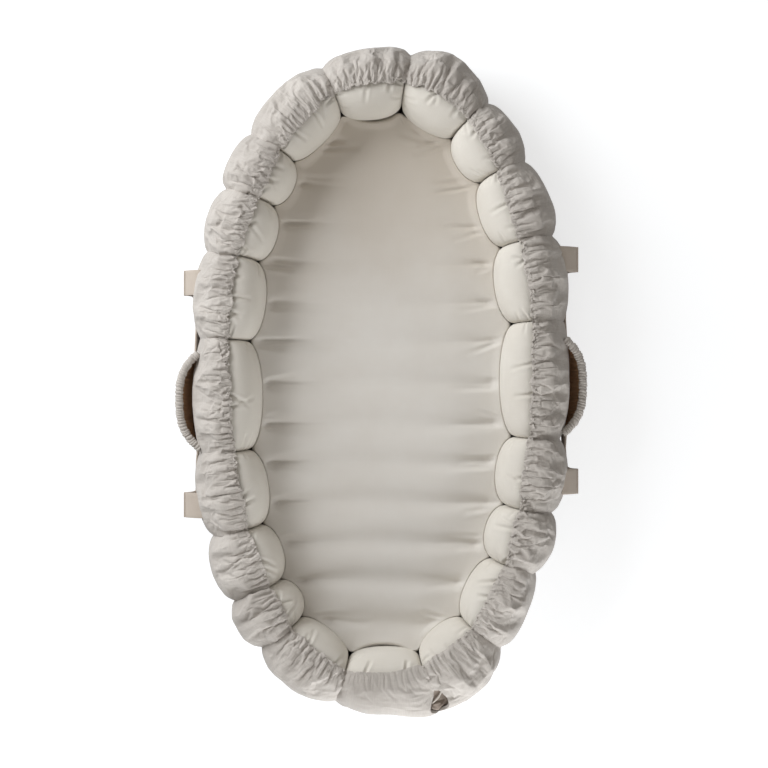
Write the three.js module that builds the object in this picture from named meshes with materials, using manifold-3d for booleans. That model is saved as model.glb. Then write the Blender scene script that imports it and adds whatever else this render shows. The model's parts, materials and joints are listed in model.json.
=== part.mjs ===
// Infant lounger: a soft nest that lies on the floor with a baby in it.
// A ring of twenty stuffed chambers goes round a quilted floor, and a cover wraps the ring like a fitted sheet.
// Millimetres, +Z up, +Y to the head end, +X to the right seen from above, the origin on the floor in the middle.
import * as THREE from "three";
import { mergeVertices } from "three/addons/utils/BufferGeometryUtils.js";
import Module from "manifold-3d";

const wasm = await Module();
wasm.setup();

// The ring: the plan line that runs along the middle of the bolster
const ringHalfWidth = 194;
const ringHalfLength = 380;
const ringSquareness = 2.3;
const ringSamples = 2880;
const smoothingShare = 0.004;
const searchShare = 1e-6;
const quarterShare = 0.25;

// The bolster's section, a squarish oval that stands on a flat underside
const bolsterHalfWidth = 42;
const bolsterMiddleHeight = 50;
const bolsterHalfHeight = 60;
const sectionSquareness = 2.3;
const crestAngle = THREE.MathUtils.degToRad(84);
const sectionSteps = 5;

// The chambers, as shares of the ring, number 01 at the head and then clockwise from above
const chamberShares = [
  0.049, 0.05, 0.04, 0.049, 0.054, 0.078, 0.048, 0.039, 0.049, 0.046,
  0.057, 0.051, 0.032, 0.042, 0.053, 0.075, 0.056, 0.041, 0.036, 0.055,
];
const firstSeamShare = -0.033;
const panelNames = ["head", "right", "foot", "left"];
const panelLeadCount = 2;
const stationShares = [0, 0.06, 0.2, 0.5, 0.8, 0.94, 1];
const pinchPower = 4;
const chamberPinchShare = 0.42;
const skirtPinchShare = 0.2;
const skirtFadePower = 0.6;

// Cloth, clearances and the overrun of a cut
const clothGap = 0.4;
const seatGap = 0.3;
const skirtThickness = 1.6;
const baseThickness = 2;
const baseMargin = 0.6;
const cutOverrun = 30;
const weldDistance = 1e-4;

// The floor of the nest
const coreThickness = 25;
const floorClearance = 1.2;
const quiltEdge = 6;
const quiltCrown = 8;
const channelPitch = 51;
const channelDepth = 5;
const channelSteps = 4;
const quiltColumnShares = [-1, -0.86, -0.45, 0, 0.45, 0.86, 1];

// The hem tunnel on the crest, its elastic and the slit at the foot
const hemHalfWidth = 6;
const hemHalfHeight = 4;
const hemWall = 1.2;
const hemSteps = 60;
const hemCorners = 6;
const elasticHalfWidth = 3.6;
const elasticHalfThickness = 0.6;
const slitShare = 0.462;
const slitWidth = 20;
const slitHalfLength = 19;
const slitAngle = THREE.MathUtils.degToRad(40);
const knotLength = 10;
const knotHalfHeight = 3;
const knotBulgeShares = [0.45, 0.9, 1, 0.9, 0.45];

// The side pockets
const pocketHalfLength = 58;
const pocketMiddle = { right: -4, left: -22 };
const pocketFloorDrop = 30;
const pocketRimRise = 18;
const pocketFloorHeight = bolsterMiddleHeight - pocketFloorDrop;
const pocketRimHeight = bolsterMiddleHeight + pocketRimRise;
const pocketBulge = 12.6;
const pocketThickness = 1.4;
const pocketHemRadius = 5.5;
const pocketSteps = 14;
const pocketRows = 4;
const pocketRoundness = 3.2;

// The carry handles: webbing sewn on at two tabs, with a free loop between them
const strapHalfWidth = 16;
const strapThickness = 2.5;
const handleMiddle = { right: 16, left: -14 };
const handleHalfSpan = 141;
const creaseReach = 14;
const creaseRise = 12;
const tabRootRise = 30;
const creaseOut = ringHalfWidth + bolsterHalfWidth + creaseReach;
const creaseHeight = bolsterMiddleHeight + creaseRise;
const tabRootHeight = bolsterMiddleHeight + tabRootRise;
const tabCrown = 3;
const tabSteps = 5;
const loopDrop = 39;
const loopCornerRadius = 30;
const loopClearance = 1.2;
const legSteps = 2;
const cornerSteps = 5;
const halfRunSteps = 8;

// Materials
const cream = new THREE.MeshStandardMaterial({ color: 0xd6d2c8, roughness: 0.95, metalness: 0 });
const quiltCream = new THREE.MeshStandardMaterial({ color: 0xcfc9bd, roughness: 0.95, metalness: 0 });
const beige = new THREE.MeshStandardMaterial({ color: 0xbfb6ab, roughness: 0.95, metalness: 0 });
const webbing = new THREE.MeshStandardMaterial({ color: 0xb3a597, roughness: 0.9, metalness: 0 });
const foam = new THREE.MeshStandardMaterial({ color: 0xe6e2d4, roughness: 1, metalness: 0 });
const rubber = new THREE.MeshStandardMaterial({ color: 0xe9e6df, roughness: 0.8, metalness: 0 });

const lounger = new THREE.Group();

function addPiece(name, geometry, material) {
  const piece = new THREE.Mesh(geometry, material);
  piece.name = name;
  lounger.add(piece);
}

// Signed power, the base of every squarish oval
const bent = (value, squareness) => Math.sign(value) * Math.abs(value) ** (2 / squareness);

// Points along the ring at even steps of the angle, with the length run so far
function sampleRing() {
  const samples = [];
  let run = 0;
  for (let i = 0; i <= ringSamples; i++) {
    const turn = (2 * Math.PI * i) / ringSamples;
    const x = ringHalfWidth * bent(Math.sin(turn), ringSquareness);
    const y = ringHalfLength * bent(Math.cos(turn), ringSquareness);
    if (i > 0) run += Math.hypot(x - samples[i - 1].x, y - samples[i - 1].y);
    samples.push({ x, y, run });
  }
  return samples;
}

const ring = sampleRing();
const ringLength = ring[ringSamples].run;

// The ring's point at a share of its length
function ringPoint(share) {
  const run = (share - Math.floor(share)) * ringLength;
  let low = 0;
  let high = ringSamples;
  while (high - low > 1) {
    const middle = (low + high) >> 1;
    if (ring[middle].run <= run) low = middle;
    else high = middle;
  }
  const part = (run - ring[low].run) / (ring[high].run - ring[low].run);
  return new THREE.Vector2(
    THREE.MathUtils.lerp(ring[low].x, ring[high].x, part),
    THREE.MathUtils.lerp(ring[low].y, ring[high].y, part),
  );
}

// The ring's point and its outward direction, smoothed over a small share of the ring
function ringFrame(share) {
  const along = ringPoint(share + smoothingShare).sub(ringPoint(share - smoothingShare)).normalize();
  return { point: ringPoint(share), outward: new THREE.Vector2(-along.y, along.x) };
}

// A place beside the ring: so far outward from it and so high
function placeBeside(share, out, height) {
  const { point, outward } = ringFrame(share);
  return new THREE.Vector3(point.x + outward.x * out, point.y + outward.y * out, height);
}

// The share of the ring whose point on one side has the given y
function shareAtSide(side, y) {
  let low = side > 0 ? 0 : 2 * quarterShare;
  let high = low + 2 * quarterShare;
  while (high - low > searchShare) {
    const middle = (low + high) / 2;
    const above = ringPoint(middle).y > y;
    if (above === side > 0) low = middle;
    else high = middle;
  }
  return low;
}

const underside = baseThickness + seatGap;

// The angle round the section at which the bolster's wall reaches a height
function angleAtHeight(height) {
  const share = (height - bolsterMiddleHeight) / bolsterHalfHeight;
  return Math.asin(Math.sign(share) * Math.abs(share) ** (sectionSquareness / 2));
}

const footAngle = angleAtHeight(underside);

// A point of the section: angle zero is straight outward, and swell is its size as a share of the full section
function sectionPoint(angle, swell, distance) {
  const cosine = Math.cos(angle);
  const sine = Math.sin(angle);
  const out = bolsterHalfWidth * swell * bent(cosine, sectionSquareness);
  const up = bolsterHalfHeight * swell * bent(sine, sectionSquareness);
  const lean = new THREE.Vector2(
    bent(cosine, sectionSquareness / (sectionSquareness - 1)) / bolsterHalfWidth,
    bent(sine, sectionSquareness / (sectionSquareness - 1)) / bolsterHalfHeight,
  ).normalize();
  if (angle <= footAngle && distance > 0) return { out: out + distance / lean.x, up };
  return { out: out + lean.x * distance, up: up + lean.y * distance };
}

// Where each chamber starts, as shares of the ring
const seamShares = [firstSeamShare];
const shareSum = chamberShares.reduce((sum, share) => sum + share, 0);
for (const share of chamberShares) {
  seamShares.push(seamShares[seamShares.length - 1] + share / shareSum);
}

// How far along its chamber a share of the ring lies, from zero to one
function partOfChamber(share) {
  const turned = share - Math.floor(share - firstSeamShare);
  const index = seamShares.findIndex((seam, i) => turned < seamShares[i + 1] || i === chamberShares.length - 1);
  return (turned - seamShares[index]) / (seamShares[index + 1] - seamShares[index]);
}

const pinchAt = (part) => Math.abs(2 * part - 1) ** pinchPower;

// The cover's swell: it dips between the chambers, and not at its foot or its crest
function skirtSwell(part, angle) {
  const climb = THREE.MathUtils.clamp((angle - footAngle) / (crestAngle - footAngle), 0, 1);
  const fade = Math.sin(Math.PI * climb) ** skirtFadePower;
  return 1 - skirtPinchShare * fade * pinchAt(part);
}

// A point at a distance from the bolster's full section, following the dips of the cover
function coverPoint(share, part, angle, distance) {
  const section = sectionPoint(angle, skirtSwell(part, angle), distance);
  return placeBeside(share, section.out, bolsterMiddleHeight + section.up);
}

// A closed solid from a list of triangles, with the vertices that touch made one
function solidOf(triangles) {
  const positions = triangles.flatMap((triangle) => triangle.flatMap((point) => point.toArray()));
  const geometry = new THREE.BufferGeometry();
  geometry.setAttribute("position", new THREE.Float32BufferAttribute(positions, 3));
  const merged = mergeVertices(geometry, weldDistance);
  merged.computeVertexNormals();
  return merged;
}

// Two triangles across a four-cornered face
const quad = (a, b, c, d) => [[a, b, c], [a, c, d]];

// A solid between two grids of points, front and back, closed round the edge: seen from the front, the first
// index runs to the right and the second upward
function shellOf(front, back) {
  const triangles = [];
  const last = front.length - 1;
  const top = front[0].length - 1;
  for (let i = 0; i < last; i++) {
    const k = i + 1;
    for (let j = 0; j < top; j++) {
      triangles.push(...quad(front[i][j], front[k][j], front[k][j + 1], front[i][j + 1]));
      triangles.push(...quad(back[i][j], back[i][j + 1], back[k][j + 1], back[k][j]));
    }
    triangles.push(...quad(back[i][0], back[k][0], front[k][0], front[i][0]));
    triangles.push(...quad(front[i][top], front[k][top], back[k][top], back[i][top]));
  }
  for (let j = 0; j < top; j++) {
    triangles.push(...quad(back[0][j], front[0][j], front[0][j + 1], back[0][j + 1]));
    triangles.push(...quad(front[last][j], back[last][j], back[last][j + 1], front[last][j + 1]));
  }
  return solidOf(triangles);
}

// A solid through closed loops of points, each running anticlockwise seen from the far end, with flat ends
function loftOf(loops) {
  const triangles = [];
  const count = loops[0].length;
  for (let i = 0; i < loops.length - 1; i++) {
    for (let j = 0; j < count; j++) {
      const k = (j + 1) % count;
      triangles.push(...quad(loops[i][j], loops[i][k], loops[i + 1][k], loops[i + 1][j]));
    }
  }
  const start = loops[0];
  const end = loops[loops.length - 1];
  for (let j = 1; j < count - 1; j++) {
    triangles.push([start[0], start[j + 1], start[j]]);
    triangles.push([end[0], end[j], end[j + 1]]);
  }
  return solidOf(triangles);
}

// A tunnel of cloth through pairs of loops, the outer wall and the bore, open at both ends
function tunnelOf(outer, bore) {
  const triangles = [];
  const count = outer[0].length;
  const last = outer.length - 1;
  for (let j = 0; j < count; j++) {
    const k = (j + 1) % count;
    for (let i = 0; i < last; i++) {
      triangles.push(...quad(outer[i][j], outer[i][k], outer[i + 1][k], outer[i + 1][j]));
      triangles.push(...quad(bore[i][j], bore[i + 1][j], bore[i + 1][k], bore[i][k]));
    }
    triangles.push(...quad(outer[0][j], bore[0][j], bore[0][k], outer[0][k]));
    triangles.push(...quad(outer[last][j], outer[last][k], bore[last][k], bore[last][j]));
  }
  return solidOf(triangles);
}

// A flat plate whose outline keeps a distance from the ring
function plateOf(out, low, high) {
  const outline = [];
  for (let i = 0; i < hemSteps; i++) outline.push(placeBeside(-i / hemSteps, out, low));
  const lift = new THREE.Vector3(0, 0, high - low);
  return loftOf([outline, outline.map((point) => point.clone().add(lift))]);
}

function toManifold(geometry) {
  const bare = new THREE.BufferGeometry();
  bare.setAttribute("position", geometry.getAttribute("position").clone());
  bare.setIndex(geometry.getIndex());
  const merged = mergeVertices(bare, weldDistance);
  const vertProperties = new Float32Array(merged.getAttribute("position").array);
  const triVerts = new Uint32Array(merged.getIndex().array);
  return new wasm.Manifold(new wasm.Mesh({ numProp: 3, vertProperties, triVerts }));
}

function cutOut(body, cutter) {
  const mesh = toManifold(body).subtract(toManifold(cutter)).getMesh();
  const geometry = new THREE.BufferGeometry();
  geometry.setAttribute("position", new THREE.Float32BufferAttribute(mesh.vertProperties, 3));
  geometry.setIndex(new THREE.Uint32BufferAttribute(mesh.triVerts, 1));
  geometry.computeVertexNormals();
  return geometry;
}

// Angles round a chamber's section, from the outer edge of its flat underside over the crest to the inner edge
function sectionAngles() {
  const outer = [];
  for (let j = 0; j <= sectionSteps; j++) {
    outer.push(THREE.MathUtils.lerp(footAngle, crestAngle, j / sectionSteps));
  }
  return [...outer, ...outer.map((angle) => Math.PI - angle).reverse()];
}

// One stuffed chamber: fullest in the middle, pinched at the seams to its neighbours
function chamber(index) {
  const start = seamShares[index] + seatGap / ringLength;
  const end = seamShares[index + 1] - seatGap / ringLength;
  const loops = stationShares.map((part) => {
    const share = THREE.MathUtils.lerp(start, end, part);
    const swell = 1 - chamberPinchShare * pinchAt(part);
    return sectionAngles().map((angle) => {
      const section = sectionPoint(angle, swell, 0);
      return placeBeside(share, section.out, bolsterMiddleHeight + section.up);
    });
  });
  return loftOf(loops);
}

// One panel of the outer cover. Each is as many chambers long, and the head's starts some before number 01
function skirtPanel(panel) {
  const inner = [];
  const outer = [];
  const count = chamberShares.length;
  const first = (panel * count) / panelNames.length - panelLeadCount;
  const last = first + count / panelNames.length - 1;
  for (let index = first; index <= last; index++) {
    const turns = Math.floor(index / count);
    const start = seamShares[index - turns * count] + turns;
    const end = seamShares[index - turns * count + 1] + turns;
    const isLast = index === last;
    for (const part of isLast ? stationShares : stationShares.slice(0, -1)) {
      let share = THREE.MathUtils.lerp(start, end, part);
      if (index === first && part === 0) share += seatGap / ringLength;
      if (isLast && part === 1) share -= seatGap / ringLength;
      const angles = sectionAngles().slice(0, sectionSteps + 1);
      inner.push(angles.map((angle) => coverPoint(share, part, angle, clothGap)));
      outer.push(angles.map((angle) => coverPoint(share, part, angle, clothGap + skirtThickness)));
    }
  }
  return shellOf(inner, outer);
}

// The slit in the foot panel, an oval cut square to the cloth
function slitCutter() {
  const shape = new THREE.Shape().absellipse(0, 0, slitWidth / 2, slitHalfLength, 0, 2 * Math.PI);
  const cutter = new THREE.ExtrudeGeometry(shape, {
    depth: cutOverrun,
    bevelEnabled: false,
    curveSegments: 10,
  });
  const middle = coverPoint(slitShare, partOfChamber(slitShare), slitAngle, 0);
  const { outward } = ringFrame(slitShare);
  const away = new THREE.Vector3(
    outward.x * Math.cos(slitAngle),
    outward.y * Math.cos(slitAngle),
    Math.sin(slitAngle),
  );
  const along = new THREE.Vector3(-outward.y, outward.x, 0);
  const up = new THREE.Vector3().crossVectors(away, along);
  cutter.translate(0, 0, -cutOverrun / 2);
  cutter.applyMatrix4(new THREE.Matrix4().makeBasis(along, up, away).setPosition(middle));
  return cutter;
}

// The hem's place: just inside the cover's upper edge, resting on the chambers
const skirtEdge = sectionPoint(crestAngle, 1, clothGap);
const hemOut = skirtEdge.out - seatGap - hemHalfWidth;
const hemSeat = bolsterMiddleHeight + sectionPoint(crestAngle, 1, 0).up + seatGap;
const hemHeight = hemSeat + hemHalfHeight * Math.sin((2 * Math.PI) / hemCorners);

// Loops of a flat oval or band that follow the ring from one share to another
function ringLoops(start, end, steps, corners, halfWidth, halfHeight, turn) {
  const loops = [];
  for (let i = 0; i <= steps; i++) {
    const share = THREE.MathUtils.lerp(start, end, i / steps);
    const loop = [];
    for (let j = 0; j < corners; j++) {
      const angle = turn + (2 * Math.PI * j) / corners;
      loop.push(
        placeBeside(share, hemOut + halfWidth * Math.cos(angle), hemHeight + halfHeight * Math.sin(angle)),
      );
    }
    loops.push(loop);
  }
  return loops;
}

function hemCasing() {
  const half = slitWidth / 2 / ringLength;
  const start = slitShare + half;
  const end = slitShare + 1 - half;
  return tunnelOf(
    ringLoops(start, end, hemSteps, hemCorners, hemHalfWidth, hemHalfHeight, 0),
    ringLoops(start, end, hemSteps, hemCorners, hemHalfWidth - hemWall, hemHalfHeight - hemWall, 0),
  );
}

function hemElastic() {
  const half = (knotLength / 2 + seatGap) / ringLength;
  const halfWidth = elasticHalfWidth * Math.SQRT2;
  const halfThickness = elasticHalfThickness * Math.SQRT2;
  return loftOf(
    ringLoops(slitShare + half, slitShare + 1 - half, hemSteps, 4, halfWidth, halfThickness, Math.PI / 4),
  );
}

// The elastic's knot in the gap of the hem, a bulging lump
function elasticKnot() {
  const last = knotBulgeShares.length - 1;
  const loops = knotBulgeShares.map((bulge, i) => {
    const share = slitShare + (knotLength * (i / last - 0.5)) / ringLength;
    return ringLoops(share, share, 1, 8, elasticHalfWidth * bulge, knotHalfHeight * bulge, 0)[0];
  });
  return loftOf(loops);
}

// The height of the quilt's top over its underside: crowned, thin at the rim and drawn down along the channels
function quiltHeight(widthShare, y, endShare) {
  const crown = (1 - widthShare ** 4) * (1 - endShare ** 6);
  const phase = y / channelPitch - Math.floor(y / channelPitch);
  const puff = Math.sqrt(Math.sin(Math.PI * phase));
  return quiltEdge + crown * (quiltCrown - channelDepth * (1 - puff));
}

// Half the width of the floor at a distance from the middle
function floorHalfWidth(y) {
  let low = y >= 0 ? 0 : quarterShare;
  let high = low + quarterShare;
  while (high - low > searchShare) {
    const middle = (low + high) / 2;
    if (placeBeside(middle, floorOut, 0).y > y) low = middle;
    else high = middle;
  }
  return placeBeside(low, floorOut, 0).x;
}

// The nest's floor and foam keep clear of the chambers' inner faces
const floorOut = -(bolsterHalfWidth + floorClearance);

function floorQuilt() {
  const halfLength = ringHalfLength + floorOut - floorClearance;
  const low = underside + coreThickness + seatGap;
  const rowEnds = [-halfLength];
  const firstChannel = Math.ceil((-halfLength + channelPitch / 4) / channelPitch);
  const lastChannel = Math.floor((halfLength - channelPitch / 4) / channelPitch);
  for (let k = firstChannel; k <= lastChannel; k++) rowEnds.push(k * channelPitch);
  rowEnds.push(halfLength);
  const rows = [];
  for (let k = 0; k < rowEnds.length - 1; k++) {
    for (let step = 0; step < channelSteps; step++) {
      rows.push(THREE.MathUtils.lerp(rowEnds[k], rowEnds[k + 1], step / channelSteps));
    }
  }
  rows.push(halfLength);
  const top = [];
  const bottom = [];
  for (const y of rows) {
    const halfWidth = floorHalfWidth(y);
    top.push(
      quiltColumnShares.map((share) => {
        const height = quiltHeight(share, y, y / halfLength);
        return new THREE.Vector3(-share * halfWidth, y, low + height);
      }),
    );
    bottom.push(quiltColumnShares.map((share) => new THREE.Vector3(-share * halfWidth, y, low)));
  }
  return shellOf(top, bottom);
}

// How full a pocket stands off the wall: nothing at its two ends, most in the middle
const pocketFullness = (part) => 1 - Math.abs(part) ** pocketRoundness;

// How far out from the ring a wall lies at a height, at a distance in front of the cover
function wallOut(height, swell, distance) {
  const growth = clothGap + skirtThickness + distance;
  const climb = Math.abs(height - bolsterMiddleHeight) / (bolsterHalfHeight * swell + growth);
  return (bolsterHalfWidth * swell + growth) * (1 - climb ** sectionSquareness) ** (1 / sectionSquareness);
}

// A point in front of the cover on one side, following its dips
function sidePoint(side, y, height, distance) {
  const share = shareAtSide(side, y);
  const swell = skirtSwell(partOfChamber(share), angleAtHeight(height));
  return placeBeside(share, wallOut(height, swell, distance), height);
}

// A point in front of the cover on one side that spans its dips
function spanPoint(side, y, height, distance) {
  return placeBeside(shareAtSide(side, y), wallOut(height, 1, distance), height);
}

// How far the pocket's cloth stands off the cover
function pocketStandOff(part, climb) {
  const side = 1 - Math.abs(part) ** (2 * pocketRoundness);
  return climb * (pocketHemRadius * side + pocketBulge * pocketFullness(part));
}

function pocketPanel(side, middle) {
  const wall = [];
  const face = [];
  for (let i = 0; i <= pocketSteps; i++) {
    const part = -1 + (2 * i) / pocketSteps;
    const y = middle + side * part * pocketHalfLength;
    const wallColumn = [];
    const faceColumn = [];
    for (let j = 0; j <= pocketRows; j++) {
      const climb = j / pocketRows;
      const height = THREE.MathUtils.lerp(pocketFloorHeight, pocketRimHeight, climb);
      const standOff = pocketStandOff(part, climb);
      wallColumn.push(sidePoint(side, y, height, clothGap + standOff));
      faceColumn.push(sidePoint(side, y, height, clothGap + standOff + pocketThickness));
    }
    wall.push(wallColumn);
    face.push(faceColumn);
  }
  return shellOf(face, wall);
}

// Loops round the pocket's mouth, level, just above the panel
function pocketLoops(side, middle, corners, halfWidth, halfHeight, turn) {
  const centres = [];
  const rise = pocketRimHeight + clothGap + pocketHemRadius;
  for (let i = 0; i <= pocketSteps; i++) {
    const part = -1 + (2 * i) / pocketSteps;
    const y = middle - side * part * pocketHalfLength;
    centres.push(sidePoint(side, y, rise, clothGap + pocketHemRadius + pocketBulge * pocketFullness(part)));
  }
  return centres.map((centre, i) => {
    const before = centres[Math.max(i - 1, 0)];
    const after = centres[Math.min(i + 1, pocketSteps)];
    const along = after.clone().sub(before).normalize();
    const outward = new THREE.Vector3(-along.y, along.x, 0);
    const loop = [];
    for (let j = 0; j < corners; j++) {
      const angle = turn + (2 * Math.PI * j) / corners;
      const point = centre.clone().addScaledVector(outward, halfWidth * Math.cos(angle));
      point.z += halfHeight * Math.sin(angle);
      loop.push(point);
    }
    return loop;
  });
}

function pocketHem(side, middle) {
  const bore = pocketHemRadius - hemWall;
  return tunnelOf(
    pocketLoops(side, middle, 8, pocketHemRadius, pocketHemRadius, 0),
    pocketLoops(side, middle, 8, bore, bore, 0),
  );
}

function pocketElastic(side, middle) {
  const halfThickness = elasticHalfThickness * Math.SQRT2;
  const halfWidth = elasticHalfWidth * Math.SQRT2;
  return loftOf(pocketLoops(side, middle, 4, halfThickness, halfWidth, Math.PI / 4));
}

// The sewn-on end of a handle, from the cover out to the crease
function handleTab(side, middle) {
  const face = [];
  const back = [];
  const creaseGap = strapThickness / 2 + clothGap;
  for (let i = 0; i <= tabSteps; i++) {
    const part = i / tabSteps;
    const faceRow = [];
    const backRow = [];
    for (const edge of [-1, 1]) {
      const y = middle + edge * strapHalfWidth;
      const root = spanPoint(side, y, tabRootHeight, clothGap + strapThickness);
      const tip = new THREE.Vector3(side * (creaseOut - creaseGap), y, creaseHeight + strapThickness / 2);
      const point = new THREE.Vector3().lerpVectors(root, tip, part);
      point.y = y;
      point.z += tabCrown * Math.sin(Math.PI * part);
      faceRow.push(point);
      backRow.push(point.clone().setZ(point.z - strapThickness));
    }
    face.push(side > 0 ? faceRow : faceRow.reverse());
    back.push(side > 0 ? backRow : backRow.reverse());
  }
  return shellOf(face, back);
}

// The middle line of the hanging loop: y along the side, the drop below the crease and the turn of the webbing
function loopRoute() {
  const route = [];
  const straight = loopDrop - loopCornerRadius;
  for (let i = 0; i < legSteps; i++) {
    route.push({ y: handleHalfSpan, drop: (straight * i) / legSteps, turn: 0 });
  }
  for (let i = 0; i <= cornerSteps; i++) {
    const turn = ((Math.PI / 2) * i) / cornerSteps;
    const y = handleHalfSpan - loopCornerRadius * (1 - Math.cos(turn));
    route.push({ y, drop: straight + loopCornerRadius * Math.sin(turn), turn });
  }
  const half = handleHalfSpan - loopCornerRadius;
  for (let i = 1; i <= halfRunSteps; i++) {
    route.push({ y: half * (1 - i / halfRunSteps), drop: loopDrop, turn: Math.PI / 2 });
  }
  const mirrored = route.slice(0, -1).reverse();
  return [...route, ...mirrored.map(({ y, drop, turn }) => ({ y: -y, drop, turn: Math.PI - turn }))];
}

// Where the hanging loop lies: from the crease in to the wall, and over the pocket's lower face
function loopPoint(side, name, y, drop) {
  const height = creaseHeight - drop;
  const part = THREE.MathUtils.clamp((y - pocketMiddle[name]) / pocketHalfLength, -1, 1);
  const climb = THREE.MathUtils.clamp(
    (height - pocketFloorHeight) / (pocketRimHeight - pocketFloorHeight),
    0,
    1,
  );
  const overPocket = pocketStandOff(part, climb) + clothGap + pocketThickness;
  const wall = spanPoint(side, y, height, overPocket + loopClearance + strapThickness / 2);
  const reach = THREE.MathUtils.smoothstep(drop, strapThickness, loopDrop - strapHalfWidth);
  return new THREE.Vector3(THREE.MathUtils.lerp(side * creaseOut, wall.x, reach), y, height);
}

function handleLoop(side, name) {
  const face = [];
  const back = [];
  for (const { y, drop, turn } of loopRoute()) {
    const faceRow = [];
    const backRow = [];
    for (const edge of [-1, 0, 1]) {
      const acrossY = handleMiddle[name] + y + edge * strapHalfWidth * Math.cos(turn);
      const acrossDrop = drop + edge * strapHalfWidth * Math.sin(turn);
      const point = loopPoint(side, name, acrossY, Math.max(acrossDrop, 0));
      backRow.push(point.clone().setX(point.x - (side * strapThickness) / 2));
      faceRow.push(point.clone().setX(point.x + (side * strapThickness) / 2));
    }
    face.push(side > 0 ? faceRow : faceRow.reverse());
    back.push(side > 0 ? backRow : backRow.reverse());
  }
  return shellOf(face, back);
}

const baseOut = sectionPoint(footAngle, 1, clothGap + skirtThickness).out + baseMargin;
addPiece("cover_base", plateOf(baseOut, 0, baseThickness), beige);
addPiece("mattress_core", plateOf(floorOut, underside, underside + coreThickness), foam);
addPiece("floor_quilt", floorQuilt(), quiltCream);
chamberShares.forEach((share, index) => {
  addPiece(`bolster_chamber_${String(index + 1).padStart(2, "0")}`, chamber(index), cream);
});
panelNames.forEach((name, panel) => {
  const cloth = skirtPanel(panel);
  addPiece(`skirt_${name}`, name === "foot" ? cutOut(cloth, slitCutter()) : cloth, beige);
});
addPiece("hem_casing", hemCasing(), beige);
addPiece("hem_elastic", hemElastic(), rubber);
addPiece("elastic_knot", elasticKnot(), rubber);
for (const [name, side] of [["right", 1], ["left", -1]]) {
  addPiece(`pocket_${name}`, pocketPanel(side, pocketMiddle[name]), beige);
  addPiece(`pocket_hem_${name}`, pocketHem(side, pocketMiddle[name]), beige);
  addPiece(`pocket_elastic_${name}`, pocketElastic(side, pocketMiddle[name]), rubber);
  addPiece(`handle_tab_${name}_head`, handleTab(side, handleMiddle[name] + handleHalfSpan), webbing);
  addPiece(`handle_tab_${name}_foot`, handleTab(side, handleMiddle[name] - handleHalfSpan), webbing);
  addPiece(`handle_loop_${name}`, handleLoop(side, name), webbing);
}

export default lounger;
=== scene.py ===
"""Dresses the infant lounger: stuffed bolster, quilted floor, gathered cover, side pockets, webbing handles.

Metres, +Z up, +Y to the head end, +X to the right seen from above, the origin on the floor in the middle.
"""
import json
from math import asin, cos, pi, radians, sin

import bpy
import numpy as np
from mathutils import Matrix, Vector
from mathutils.bvhtree import BVHTree

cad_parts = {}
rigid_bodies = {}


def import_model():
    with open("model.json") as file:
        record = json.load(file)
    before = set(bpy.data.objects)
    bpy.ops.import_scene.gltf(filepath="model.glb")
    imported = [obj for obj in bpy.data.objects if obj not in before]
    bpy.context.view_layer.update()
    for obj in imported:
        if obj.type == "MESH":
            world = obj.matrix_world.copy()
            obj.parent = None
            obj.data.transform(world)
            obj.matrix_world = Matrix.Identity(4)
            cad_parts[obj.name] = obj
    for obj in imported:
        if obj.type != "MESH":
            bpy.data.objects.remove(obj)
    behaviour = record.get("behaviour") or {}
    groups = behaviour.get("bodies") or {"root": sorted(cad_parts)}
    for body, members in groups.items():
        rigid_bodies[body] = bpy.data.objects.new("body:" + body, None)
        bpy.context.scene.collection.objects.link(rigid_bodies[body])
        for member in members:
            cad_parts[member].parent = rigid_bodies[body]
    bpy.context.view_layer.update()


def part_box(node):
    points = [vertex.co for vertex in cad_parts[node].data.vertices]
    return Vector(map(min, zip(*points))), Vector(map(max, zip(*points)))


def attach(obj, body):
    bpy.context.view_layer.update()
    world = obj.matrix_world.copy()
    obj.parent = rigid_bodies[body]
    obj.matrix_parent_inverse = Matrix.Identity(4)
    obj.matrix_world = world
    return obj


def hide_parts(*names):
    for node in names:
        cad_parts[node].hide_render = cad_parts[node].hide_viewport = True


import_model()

# The ring: the plan line that runs along the middle of the bolster
RING_HALF_WIDTH = 0.194
RING_HALF_LENGTH = 0.38
SQUARENESS = 2.3
RING_SAMPLES = 2880
SMOOTHING = 0.004

# The bolster's section and its chambers, clockwise from the head
HALF_WIDTH = 0.042
MIDDLE_HEIGHT = 0.05
HALF_HEIGHT = 0.06
UNDERSIDE = 0.0023
CHAMBER_SHARES = [
    0.049, 0.05, 0.04, 0.049, 0.054, 0.078, 0.048, 0.039, 0.049, 0.046,
    0.057, 0.051, 0.032, 0.042, 0.053, 0.075, 0.056, 0.041, 0.036, 0.055,
]
FIRST_SEAM_SHARE = -0.033

# The floor, the pockets and the handles, as in the part's source
FLOOR_OUT = -0.0432
CORE_THICKNESS = 0.025
QUILT_UNDERSIDE = 0.0276
CHANNEL_PITCH = 0.051
POCKET_MIDDLE = {"right": -0.004, "left": -0.022}
POCKET_HALF = 0.058
POCKET_LOW = 0.02
POCKET_HIGH = 0.068
POCKET_BULGE = 0.0126
POCKET_OPEN = 0.007
MOUTH_RADIUS = 0.0055
COVER_THICKNESS = 0.002
HANDLE_MIDDLE = {"right": 0.016, "left": -0.014}
HANDLE_HALF = 0.141
STRAP_HALF = 0.016
STRAP_THICKNESS = 0.0025
CREASE_OUT = 0.25
CREASE_HEIGHT = 0.062
TAB_ROOT_HEIGHT = 0.08
LOOP_DROP = 0.039
LOOP_CORNER = 0.03
SLIT_SHARE = 0.468
SLIT_HALF = 0.0092
SLIT_SEAM = 10
SLIT_TOP = 0.0265
SLIT_FOOT = 0.065
SLIT_LEAN = 0.007


# Shape of the ring and of the section

def bent(value):
    """Signed power, the base of every squarish oval."""
    return np.sign(value) * np.abs(value) ** (2 / SQUARENESS)


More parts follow.
